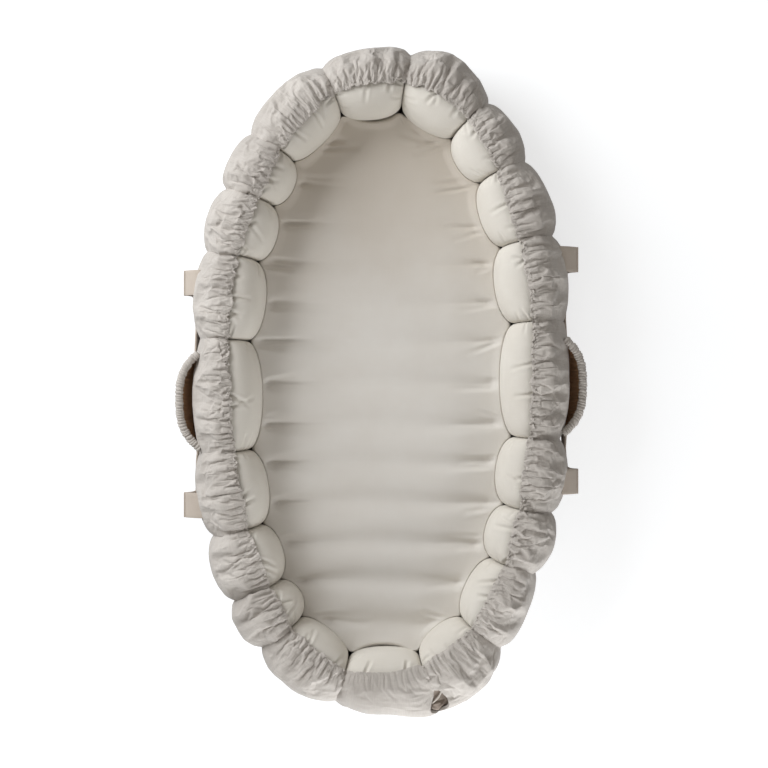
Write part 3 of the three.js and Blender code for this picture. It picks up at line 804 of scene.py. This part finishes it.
def gathered(cover, bolster, down, shares):
    """Lets the cloth grow along its hem and buckle over the bolster, as if an elastic drew it in."""
    rows, columns = len(down), len(shares)
    modifier = cover.modifiers.new("Gather", "CLOTH")
    cloth = configured(modifier.settings, **CLOTH)
    cloth.effector_weights.gravity = 0
    stiff = np.clip((down - STIFFER_FROM) / STIFFER_OVER, 0, 1)
    cloth.vertex_group_bending = group_of(cover, "stiffer", rows, columns, stiff)
    held = bell(down - ELASTIC_AT, 0.004)
    held[-1] = 1
    cloth.vertex_group_mass = group_of(cover, "held", rows, columns, held)
    grown = np.interp(down, *GROWN)
    cloth.vertex_group_shrink = group_of(cover, "plain", rows, columns, 1 - grown)
    calm = np.flatnonzero(calm_part(shares) > 0.5)
    for row, part in enumerate(grown):
        cover.vertex_groups["plain"].add((calm * rows + row).tolist(), 1 - 0.3 * float(part), "REPLACE")
    configured(modifier.collision_settings, distance_min=0.001, use_self_collision=False)
    modifier.point_cache.frame_end = 40
    bolster.modifiers.new("Press", "COLLISION")
    configured(bolster.collision, thickness_outer=0.0015, cloth_friction=1)
    for step in range(CLOTH_FRAMES):
        bpy.context.scene.frame_set(step + 1)
    apply_modifiers(cover)
    bpy.context.scene.frame_set(1)
    bpy.data.objects.remove(bolster)


def folds_round(run, pitch, rng):
    """Folds at an uneven pitch round the hem: their phase along it and each one's height."""
    count = round(RING_LENGTH / pitch)
    gaps = rng.uniform(0.65, 1.35, count)
    places = running(gaps) / gaps.sum() * RING_LENGTH
    heights = rng.uniform(0.45, 1.2, count)
    run = np.mod(run, RING_LENGTH)
    phase = np.interp(run, places, 2 * pi * np.arange(count + 1))
    return phase, np.interp(run, places, np.append(heights, heights[0]))


def calm_part(shares):
    """One where the cover lies flat over the foot, and zero elsewhere."""
    start, end = SEAMS[CALM_CHAMBER], SEAMS[CALM_CHAMBER + 1]
    turned = np.mod(shares, 1)
    begun = ease(turned, start - 0.006, start + 0.006)
    return begun * (1 - ease(turned, end - 0.008, end + 0.004))


PLEAT_PITCH = 0.0086
PLEAT_HEIGHT = 0.0038
SOFT_FOLDS = ((0.014, 0.0022, 0.016), (0.023, 0.0056, 0.03), (0.041, 0.0062, 0.046))
SOFT_LEAN = 75


def gathers(shares, down):
    """The hem's pleats before it is let go, which open below the stitching into soft folds."""
    rng = np.random.default_rng(5)
    run = (shares * RING_LENGTH)[:, None]
    down = down[None, :]
    turn, high = folds_round(run, PLEAT_PITCH, rng)
    _, bend = folds_round(run, 0.011, rng)
    _, start = folds_round(run, 0.015, rng)
    curl = 2.2 * (bend - 0.8) * np.sin(2 * pi * down / 0.017 + 9 * start)
    pleat = (0.5 + 0.5 * np.cos(turn + curl)) ** 0.75
    tunnel = 0.65 + 0.35 * np.sin(pi * np.clip(down / STITCHED_AT, 0, 1))
    open_out = np.exp(-np.maximum(down - STITCHED_AT, 0) / 0.006)
    soft = 0
    for pitch, tall, reach in SOFT_FOLDS:
        wide_turn, wide_high = folds_round(run, pitch, rng)
        _, lean = folds_round(run, 0.04, rng)
        puff = np.abs(np.sin(0.5 * wide_turn + SOFT_LEAN * (lean - 0.8) * (down - STITCHED_AT))) ** 0.65
        fade = bell(np.maximum(down - 0.016, 0), reach)
        soft += tall * wide_high * (puff - 0.35) * ease(down, 0.002, 0.026) * fade
    soft = np.maximum(soft, -0.0004)
    calm = calm_part(shares)[:, None]
    return (PLEAT_HEIGHT * high * pleat * tunnel * open_out) * (1 - 0.75 * calm) + soft * (1 - 0.5 * calm)


def sampled(grid, columns, rows):
    """Points of a grid between its own, at fractional numbers of columns and rows."""
    columns, rows = np.broadcast_arrays(columns, rows)
    i = np.clip(columns.astype(int), 0, grid.shape[0] - 2)
    j = np.clip(rows.astype(int), 0, grid.shape[1] - 2)
    a, b = (columns - i)[..., None], (rows - j)[..., None]
    near = grid[i, j] * (1 - a) + grid[i + 1, j] * a
    far = grid[i, j + 1] * (1 - a) + grid[i + 1, j + 1] * a
    return near * (1 - b) + far * b


EDGE_FOLD = 0.001
EDGE_TURNED = 0.005


def turned_edge(points):
    """Adds the rows that turn the free edge under, with a round fold."""
    edge = points[:, 0]
    away = edge - points[:, 2]
    away /= np.linalg.norm(away, axis=-1, keepdims=True)
    out = normals_of(points, True)[:, 0]
    rows = []
    for turn in (pi, 0.72 * pi, 0.42 * pi, 0.16 * pi):
        rows.append(edge + away * EDGE_FOLD * sin(turn) - out * EDGE_FOLD * (1 - cos(turn)))
    under = rows[0] - away * EDGE_TURNED
    return np.concatenate([np.stack([under] + rows, 1), points], 1)


EYE_BLEND = 0.018
LEAN_BLEND = 0.035
LIP_DEPTHS = (0.0009, 0.0022, 0.0042)


def slit_lean(down):
    """How far along the ring the slit's middle has moved, at distances down the cover."""
    return SLIT_LEAN * (ease(down, SLIT_TOP, SLIT_FOOT) - 0.4)


def parted(points, cloth, shares, down):
    """The cloth on both sides of the slit, pushed apart, with its edges turned in."""
    run = (shares - SLIT_SHARE) * RING_LENGTH
    part = np.clip((down - SLIT_TOP) / (SLIT_FOOT - SLIT_TOP), 0, 1)
    eye = np.sin(pi * part ** 1.15) ** 0.8
    inward = -normals_of(points)
    sides = []
    for side in (-1, 1):
        own = run[run * side > 0.0004]
        own = np.append(own, 0) if side < 0 else np.insert(own, 0, 0)
        source = own[:, None] + side * SLIT_HALF * eye * bell(own[:, None], EYE_BLEND)
        source += slit_lean(down) * bell(own[:, None], LEAN_BLEND)
        both = np.concatenate([points, cloth, inward], -1)
        drawn = np.stack([
            np.stack([np.interp(source[:, row], run, both[:, row, k]) for k in range(both.shape[-1])], -1)
            for row in range(len(down))
        ], 1)
        edge = drawn[-1:] if side < 0 else drawn[:1]
        lips = [edge.copy() for _ in LIP_DEPTHS]
        for lip, depth in zip(lips, LIP_DEPTHS):
            lip[..., :3] += lip[..., 5:8] * depth * np.minimum(eye * 3, 1)[None, :, None]
        drawn = np.concatenate([drawn] + lips if side < 0 else lips[::-1] + [drawn], 0)
        sides.append((drawn[..., :3], drawn[..., 3:5]))
    return sides


FACING_HALF = 0.02
FACING_MARGIN = 0.006
FACING_GAP = 0.0018
FACING_DEPTH = 0.0095
TAIL_HALF = 0.0009
TAIL_LENGTH = 0.015


def make_slit_facing(cover, shares, cover_down):
    """What shows in the slit: folded cloth in the hollow, dark grey-brown as painted shade for the hollow,
    and the tail of the elastic.
    """
    run = np.linspace(-FACING_HALF, FACING_HALF, 67)
    down = np.linspace(SLIT_TOP - FACING_MARGIN, SLIT_FOOT + FACING_MARGIN, 81)
    x, d = np.meshgrid(run, down, indexing="ij")
    off = x - slit_lean(d)
    part = (d - SLIT_TOP) / (SLIT_FOOT - SLIT_TOP)
    hollow = np.exp(-(off / 0.012) ** 4 - ((part - 0.48) / 0.46) ** 4)
    spread = 0.0058 * np.clip((1 - part) / 0.3, 0, 1)
    fold = 0.0034 * bell(np.abs(off) - spread, 0.0015) * ease(part, 0.6, 0.7)
    step = 0.0026 * ease(part + 12 * off, 0.62, 0.68)
    lift = -FACING_GAP - FACING_DEPTH * hollow + (fold + step) * hollow
    columns = np.interp(SLIT_SHARE + run / RING_LENGTH, shares, np.arange(len(shares)))
    rows = np.interp(down, cover_down, np.arange(len(cover_down)))
    skin = sampled(cover, columns[:, None], rows[None, :])
    for _ in range(60):
        skin[1:-1, 1:-1] = (skin[:-2, 1:-1] + skin[2:, 1:-1] + skin[1:-1, :-2] + skin[1:-1, 2:]) / 4
    points = skin + normals_of(skin) * lift[..., None]
    facing = subdivided(grid_piece("slit_facing", points, paired(x, d)))
    # The facing's dark grey-brown colour is painted shade
    finished(facing, SLIT_SHADE_CLOTH)
    part = np.linspace(0, 1, 24)[:, None]
    edges = np.linspace(-TAIL_HALF, TAIL_HALF, 4)[None, :]
    columns = np.interp(-0.0045 + 0.011 * part + edges * 0.7, run, np.arange(len(run)))
    rows = np.interp(SLIT_TOP + 0.009 + 0.012 * part - edges * 0.7, down, np.arange(len(down)))
    place = sampled(points, columns, rows)
    above = sampled(points + normals_of(points), columns, rows)
    raised = place + (above - place) * (0.0012 + 0.0008 * np.sin(pi * part))[..., None]
    tail = thickened(grid_piece("elastic_tail", raised, paired(part * TAIL_LENGTH, edges)), 0.0007)
    finished(tail, ELASTIC, nodes=["elastic_knot"])


COVER_NOTCH = 0.27
COVER_SADDLE = 0.17
SEAM_CREASE = 0.09


def cover_dips(share, angle):
    """How far the cover is drawn in, and how far down, over the chambers and at their seams."""
    part, index = part_of_chamber(share)
    off_seam = np.abs(2 * part - 1)
    notch = off_seam ** 2.2 + SEAM_CREASE / COVER_NOTCH * bell(1 - off_seam, 0.08)
    notch = notch * pinched(part, index)
    wall = wall_part(angle)
    reach = 1 + (outer_reach(part, index) - 1) * wall
    rise = ease(angle, 0.2, 1.2)
    return (1 - COVER_NOTCH * notch * wall) * reach, 1 - COVER_SADDLE * notch * rise


COVER_COLUMNS = 1400
COVER_LIFT = 0.0006
COVER_FULLNESS = 1.25
TURNED_ROWS = [-0.008, -0.003, -0.002, -0.001, -0.0005]
PRESS_PITCH = 0.006
PRESS_ROWS = 48


def make_cover():
    """The cover, gathered over the bolster as one cloth and then cut into its panels."""
    shares, seams = chamber_columns(RING_LENGTH / COVER_COLUMNS)
    down, out, up, angles = cover_path(shares)
    inward, downward = cover_dips(shares[:, None], angles)
    smooth = beside(shares[:, None], out * inward, MIDDLE_HEIGHT + up * downward)
    points = smooth + normals_of(smooth, True) * (COVER_LIFT + gathers(shares, down))[..., None]
    cover = grid_piece("cover", points, round_along=True)
    press, _ = chamber_columns(PRESS_PITCH)
    around = np.linspace(2 * pi, 0, PRESS_ROWS, endpoint=False)
    bolster = grid_piece("Press", bolster_points(press, around), round_along=True, round_up=True)
    gathered(cover, bolster, down, shares)
    points = turned_edge(positions(cover).reshape(points.shape))
    bpy.data.objects.remove(cover)
    points[..., 2] = np.maximum(points[..., 2], UNDERSIDE)
    down = np.concatenate([TURNED_ROWS, down])
    make_slit_facing(points, shares, down)
    cut = RING_LENGTH * COVER_FULLNESS
    uv = paired(shares[:, None] * cut, down[None, :])
    for number, name in enumerate(("head", "right", "foot", "left")):
        first, last = seams[(5 * number - 2) % 20], seams[(5 * number + 2) % 20 + 1]
        if last < first:
            last += len(shares)
        span = np.arange(first, last + 1)
        cloth = uv[span % len(shares)] + paired(span // len(shares) * cut, 0)[:, None]
        if name == "foot":
            halves = parted(points[span], cloth, shares[span], down)
            piece, other = [grid_piece(f"cover_{name}", *half) for half in halves]
            only(piece)
            other.select_set(True)
            bpy.ops.object.join()
            bpy.ops.object.mode_set(mode="EDIT")
            bpy.ops.mesh.select_all(action="SELECT")
            bpy.ops.mesh.remove_doubles(threshold=0.000002)
            bpy.ops.object.mode_set(mode="OBJECT")
        else:
            piece = grid_piece(f"cover_{name}", points[span % len(shares)], cloth)
        subdivided(piece)
        nodes = [f"skirt_{name}"] + (["hem_casing"] if name == "foot" else [])
        finished(piece, COVER_COTTON, nodes=nodes)


# The side pockets

SEWN_GAP = 0.0004
MOUTH_POWER = 3.2
POCKET_SIZE = (150, 26)
POCKET_FULLNESS = 1.3
POCKET_DEPTH = 0.052
POCKET_FOLD = 0.0009
POCKET_FOLDS = (0.0065, 0.014, 7)
HEM_SIZE = (420, 28)
RIDGE_PITCH = 0.0036


def wall_out(height, distance):
    """How far out from the ring a wall lies, at a distance before the cover's widest form."""
    growth = COVER_THICKNESS + distance
    climb = np.abs(height - MIDDLE_HEIGHT) / (HALF_HEIGHT + growth)
    return (HALF_WIDTH + growth) * np.maximum(1 - climb ** SQUARENESS, 0) ** (1 / SQUARENESS)


def side_point(side, y, height, distance):
    """A point in front of the cover, which follows its notches."""
    share = share_at_side(side, y)
    climb = (height - MIDDLE_HEIGHT) / HALF_HEIGHT
    angle = np.arcsin(np.clip(np.sign(climb) * np.abs(climb) ** (SQUARENESS / 2), -1, 1))
    inward, _ = cover_dips(share, angle)
    return beside(share, wall_out(height, 0) * inward + distance, height)


def span_point(side, y, height, distance):
    """A point in front of the cover's widest form."""
    return beside(share_at_side(side, y), wall_out(height, distance), height)


def pocket_stand_off(part, climb, bulge=POCKET_BULGE + POCKET_OPEN):
    """How far the pocket's cloth stands off the cover, most at the mouth."""
    ends = 1 - np.abs(part) ** (2 * MOUTH_POWER)
    return climb * (MOUTH_RADIUS * ends + bulge * (1 - np.abs(part) ** MOUTH_POWER))


def make_pocket(name, side):
    """A pocket's gathered front, a brown sheet behind it whose colour is painted shade for the pocket's deep
    inside, and its mouth.
    """
    middle = POCKET_MIDDLE[name]
    rng = np.random.default_rng(31 if side > 0 else 32)
    part = np.linspace(-1, 1, POCKET_SIZE[0])[:, None]
    climb = np.linspace(0, 1, POCKET_SIZE[1])[None, :]
    y = middle + side * part * POCKET_HALF
    height = POCKET_LOW + (POCKET_HIGH - POCKET_LOW) * climb
    along = (part + 1) * POCKET_HALF * POCKET_FULLNESS
    gathers = sum(
        np.sin(along * 2 * pi / pitch + phase)
        for pitch, phase in zip(rng.uniform(*POCKET_FOLDS), rng.uniform(0, 6, POCKET_FOLDS[2]))
    ) / 2
    folds = POCKET_FOLD * gathers * climb ** 1.5 * (1 - part ** 8)
    face = side_point(side, y, height, SEWN_GAP + pocket_stand_off(part, climb) + 0.0006 + folds)
    uv = paired(along, climb * POCKET_DEPTH)
    panel = thickened(grid_piece(f"side_pocket_{name}", face, uv), 0.0009)
    subdivided(panel)
    finished(panel, COVER_COTTON, nodes=[f"pocket_{name}"])
    # A brown sheet inside the pocket: its colour is painted shade for the dark inside of the deep pocket
    shade_sheet_at = SEWN_GAP + pocket_stand_off(part, climb) * 0.97 - 0.0008 + folds
    shade_sheet = side_point(side, y, height, np.maximum(shade_sheet_at, 0.0002))
    shade_sheet = grid_piece(f"pocket_shade_sheet_{name}", shade_sheet[::-1, :-1], uv[:, :-1])
    finished(shade_sheet, POCKET_SHADE_SHEET)
    make_pocket_hem(name, side, middle, rng)


def make_pocket_hem(name, side, middle, rng):
    """The mouth's tunnel, drawn up on its elastic: fine slanting gathers like a rope's."""
    part = np.linspace(-1, 1, HEM_SIZE[0])
    rise = POCKET_HIGH + SEWN_GAP + MOUTH_RADIUS
    bulge = (POCKET_BULGE + POCKET_OPEN) * (1 - np.abs(part) ** MOUTH_POWER)
    y = middle - side * part * POCKET_HALF
    centre = side_point(side, y, rise, SEWN_GAP + MOUTH_RADIUS + bulge)
    forward = np.gradient(centre, axis=0)
    run = running(np.linalg.norm(np.diff(centre, axis=0), axis=1))
    forward /= np.linalg.norm(forward, axis=1, keepdims=True)
    outward = paired(-forward[:, 1], forward[:, 0], 0)
    around = np.linspace(0, 2 * pi, HEM_SIZE[1], endpoint=False)[None, :]

    def drawn(values):
        """Random values at even places along the mouth, and what lies between them."""
        return np.interp(run, np.linspace(0, run[-1], len(values)), values)[:, None]

    warp = run[:, None] + 0.001 * drawn(rng.normal(0, 1, 30))
    strength = drawn(rng.uniform(0.45, 1.25, 44))
    twist = drawn(rng.normal(0.7, 0.9, 18))
    ridge = 1 - np.abs(np.sin(pi * warp / RIDGE_PITCH + twist * np.sin(around - 0.6))) ** 0.7
    wobble = 0.07 * np.sin(2 * around + run[:, None] * 500)
    radius = MOUTH_RADIUS * (0.84 - 0.5 * strength * ridge + wobble)
    hem = centre[:, None] + outward[:, None] * (radius * np.cos(around))[..., None]
    hem[..., 2] += radius * np.sin(around) * 0.95
    uv = paired(run[:, None], np.append(around, 2 * pi)[None, :] * MOUTH_RADIUS)
    piece = grid_piece(f"gathered_mouth_{name}", hem, uv, round_up=True)
    subdivided(thickened(piece, 0.0008))
    finished(piece, COVER_COTTON, nodes=[f"pocket_hem_{name}", f"pocket_elastic_{name}"])


# The carry handles

SELVAGE = 0.0006
STRAP_COLUMNS = 9
TAB_ROWS = 28
TAB_ARCH = 0.003
LEG_ROWS, TURN_ROWS, RUN_ROWS = 5, 20, 29
CLEARED_BELOW = 0.008


def strap_piece(name, face, uv, body, nodes):
    """A length of webbing round the grid of its middle face, with rounded selvages."""
    piece = grid_piece(name, face, uv)
    thickened(piece, STRAP_THICKNESS - SELVAGE / 2, 0.0)
    modified(piece, "BEVEL", width=SELVAGE, segments=2, limit_method="ANGLE", angle_limit=radians(60))
    finished(piece, WEBBING, body, nodes)


def make_tab(name, side, end):
    """The sewn-on end of a handle, from the cover out and over to the crease."""
    middle = HANDLE_MIDDLE[name] + (1 if end == "head" else -1) * HANDLE_HALF
    edges = np.linspace(-1, 1, STRAP_COLUMNS) * STRAP_HALF
    part = np.linspace(0, 1, TAB_ROWS)
    y = middle + edges
    root = span_point(side, y, TAB_ROOT_HEIGHT, SEWN_GAP + STRAP_THICKNESS)
    tip_out = CREASE_OUT - (STRAP_THICKNESS / 2 + SEWN_GAP)
    tip = paired(side * tip_out, y, CREASE_HEIGHT + STRAP_THICKNESS / 2)
    points = root[None] + (tip - root)[None] * part[:, None, None]
    points[..., 1] = y[None, :]
    points[..., 2] += TAB_ARCH * np.sin(pi * part)[:, None] - STRAP_THICKNESS / 2
    if side > 0:
        points = points[::-1, ::-1]
    half = STRAP_COLUMNS // 2
    uv = paired(part[:, None] * float(np.linalg.norm(tip[half] - root[half])), edges[None, :])
    strap_piece(f"handle_end_{name}_{end}", points, uv, "nest", [f"handle_tab_{name}_{end}"])


def loop_route():
    """The loop's middle line: y, drop below the crease, turn of the webbing and length run."""
    straight = LOOP_DROP - LOOP_CORNER
    leg = np.linspace(0, 1, LEG_ROWS + 1)[:-1]
    turn = np.linspace(0, pi / 2, TURN_ROWS)
    run = np.linspace(0, 1, RUN_ROWS + 1)[1:]
    round_in = LOOP_CORNER * (1 - np.cos(turn))
    y, drop, turns = np.concatenate([
        paired(HANDLE_HALF, straight * leg, 0),
        paired(HANDLE_HALF - round_in, straight + LOOP_CORNER * np.sin(turn), turn),
        paired((HANDLE_HALF - LOOP_CORNER) * (1 - run), LOOP_DROP, pi / 2),
    ]).T
    y = np.append(y, -y[-2::-1])
    drop = np.append(drop, drop[-2::-1])
    turns = np.append(turns, pi - turns[-2::-1])
    return y, drop, turns, running(np.hypot(np.diff(y), np.diff(drop)))


def cloth_reach(name, side, across, height):
    """How far out the finished cover comes behind a handle, evened out along the webbing."""
    panel = bpy.data.objects[f"cover_{name}"].data
    corners = [corner.co for corner in panel.vertices]
    cloth = BVHTree.FromPolygons(corners, [face.vertices for face in panel.polygons])
    inward = Vector((-side, 0, 0))
    reach = np.zeros(across.shape)
    for place in np.ndindex(across.shape):
        outside = Vector((side * 2 * RING_HALF_WIDTH, across[place], height[place]))
        hit = cloth.ray_cast(outside, inward)[0]
        reach[place] = side * hit.x if hit else 0
    most = reach.max(axis=1)
    near = np.arange(len(most))[:, None] + np.arange(-3, 4)[None, :]
    near = np.clip(near, 0, len(most) - 1)
    return most[near].max(axis=1)[near].mean(axis=1)[:, None]


def make_loop(name, side):
    """The free middle of a handle, which hangs from its creases against cover and pocket."""
    y, drop, turns, length = loop_route()
    edges = np.linspace(-1, 1, STRAP_COLUMNS)[None, :] * STRAP_HALF
    across = HANDLE_MIDDLE[name] + y[:, None] + edges * np.cos(turns)[:, None]
    fall = np.maximum(drop[:, None] + edges * np.sin(turns)[:, None], 0)
    height = CREASE_HEIGHT - fall
    part = np.clip((across - POCKET_MIDDLE[name]) / POCKET_HALF, -1, 1)
    climb = np.clip((height - POCKET_LOW) / (POCKET_HIGH - POCKET_LOW), 0, 1)
    off = pocket_stand_off(part, climb, POCKET_BULGE) * 1.15 + 0.0005 + STRAP_THICKNESS / 2
    wall = span_point(side, across, height, off)
    reach = ease(fall, STRAP_THICKNESS, LOOP_DROP - STRAP_HALF)
    x = CREASE_OUT + (side * wall[..., 0] - CREASE_OUT) * reach
    clear = cloth_reach(name, side, across, height) + STRAP_THICKNESS / 2 + SEWN_GAP
    x = np.maximum(x, CREASE_OUT + (clear - CREASE_OUT) * ease(fall, 0, CLEARED_BELOW))
    points = paired(side * x, across, height)
    uv = paired(length[:, None], edges)
    if side < 0:
        points, uv = points[:, ::-1], uv[:, ::-1]
    strap_piece(f"carry_handle_{name}", points, uv, f"handle_{name}", [f"handle_loop_{name}"])


ELASTIC_HALF = 0.003
ELASTIC_THICKNESS = 0.0008
ELASTIC_SINK = 0.0024
ELASTIC_COLUMNS = 800


def elastic_band():
    """The hem's flat elastic, under the gathers of the cover."""
    shares = np.arange(ELASTIC_COLUMNS) / ELASTIC_COLUMNS
    _, out, up, angles = cover_path(shares, np.array([ELASTIC_AT]))
    inward, downward = cover_dips(shares[:, None], angles)
    height = MIDDLE_HEIGHT + up * downward - ELASTIC_SINK
    across = np.array([-1, 1, 1, -1]) * ELASTIC_HALF
    lift = np.array([0, 0, 1, 1]) * ELASTIC_THICKNESS
    points = beside(shares[:, None], out * inward + across[None, ::-1], height + lift[None, ::-1])
    run = np.arange(ELASTIC_COLUMNS + 1)[:, None] / ELASTIC_COLUMNS * RING_LENGTH
    uv = paired(run, np.arange(5)[None, :] * ELASTIC_HALF)
    band = grid_piece("hem_elastic_band", points, uv, round_along=True, round_up=True)
    finished(band, ELASTIC, nodes=["hem_elastic"])


WEBBING = woven("Webbing", (188, 176, 164), (209, 199, 188), 0.0012, 0.35, 0.9, 0.1, 0.0003)
FOAM = woven("Foam", (226, 220, 204), (236, 231, 218), 0.0016, 0.6, 1.0, 0.0, 0.0004)
ELASTIC = woven("Elastic", (204, 197, 188), (220, 214, 206), 0.001, 0.3, 0.8, 0.0, 0.0002)

scene = bpy.context.scene
set_camera(scene)
set_lamps(scene)
set_world(scene)
set_floor()
make_bolster()
make_quilt()
make_floor_pads()
make_cover()
elastic_band()
for name, side in (("right", 1), ("left", -1)):
    make_pocket(name, side)
    make_tab(name, side, "head")
    make_tab(name, side, "foot")
    make_loop(name, side)
